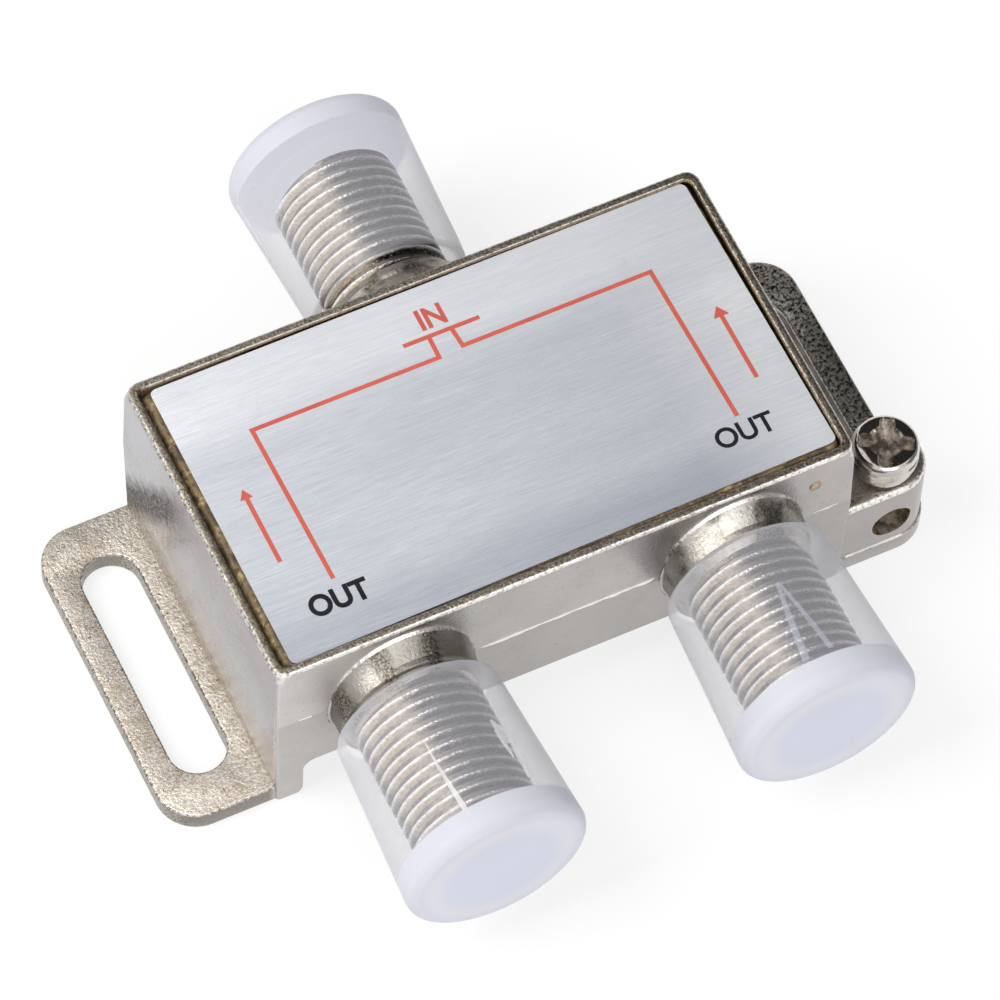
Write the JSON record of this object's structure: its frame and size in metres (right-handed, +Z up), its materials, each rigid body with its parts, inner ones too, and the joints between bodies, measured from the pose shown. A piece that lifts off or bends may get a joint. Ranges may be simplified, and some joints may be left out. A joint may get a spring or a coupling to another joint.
{
  "type": "coaxial splitter",
  "caption": "Two-way coaxial splitter: a cast housing with slotted ears, three threaded ports under push-on dust caps, a face plate and a ground block with its clamp screw.",
  "frame": {"origin": "on the mounting plane, below the middle of the housing", "axes": "+X along the row of outputs towards the ground block, +Y out of the input port, +Z up, away from the mounting plane"},
  "size_m": [0.0596, 0.0583, 0.0173],
  "materials": {
    "cast_nickel": "satin nickel plating over a granular casting",
    "bright_nickel": "bright nickel plating",
    "brushed_aluminium": "brushed along its length",
    "brown_resin": "set resin",
    "board_green": "solder mask",
    "white_plastic": "moulded",
    "milky_plastic": "milky, see-through polyethylene",
    "brass": "turned",
    "ferrite": "sintered",
    "copper": "enamelled wire",
    "ceramic": "fired",
    "resistor_blue": "lacquered"
  },
  "bodies": {
    "splitter": {"housing": "cast_nickel", "face_plate": "brushed_aluminium", "seal_bead": "brown_resin", "circuit_board": "board_green", "insulator_in": "white_plastic", "insulator_out_left": "white_plastic", "insulator_out_right": "white_plastic", "contact_in": "brass", "contact_out_left": "brass", "contact_out_right": "brass", "matching_core": "ferrite", "splitting_core": "ferrite", "matching_winding": "copper", "splitting_winding": "copper", "choke_in": "ferrite", "choke_out_left": "ferrite", "choke_out_right": "ferrite", "capacitor_in": "ceramic", "capacitor_out_left": "ceramic", "capacitor_out_right": "ceramic", "isolation_resistor": "resistor_blue"},
    "cap_in": {"dust_cap_in": "milky_plastic"},
    "cap_out_left": {"dust_cap_out_left": "milky_plastic"},
    "cap_out_right": {"dust_cap_out_right": "milky_plastic"},
    "screw": {"ground_screw": "bright_nickel"}
  },
  "joints": [
    {"name": "cap_in_pull", "type": "slide", "parent": "splitter", "child": "cap_in", "axis": [0, 1, 0], "range_m": [0, 0.015]},
    {"name": "cap_out_left_pull", "type": "slide", "parent": "splitter", "child": "cap_out_left", "axis": [0, -1, 0], "range_m": [0, 0.015]},
    {"name": "cap_out_right_pull", "type": "slide", "parent": "splitter", "child": "cap_out_right", "axis": [0, -1, 0], "range_m": [0, 0.015]},
    {"name": "screw_turn", "type": "hinge", "parent": "splitter", "child": "screw", "pos_m": [0.02615, -0.01015, 0.0085], "axis": [0, 0, 1], "continuous": true}
  ]
}
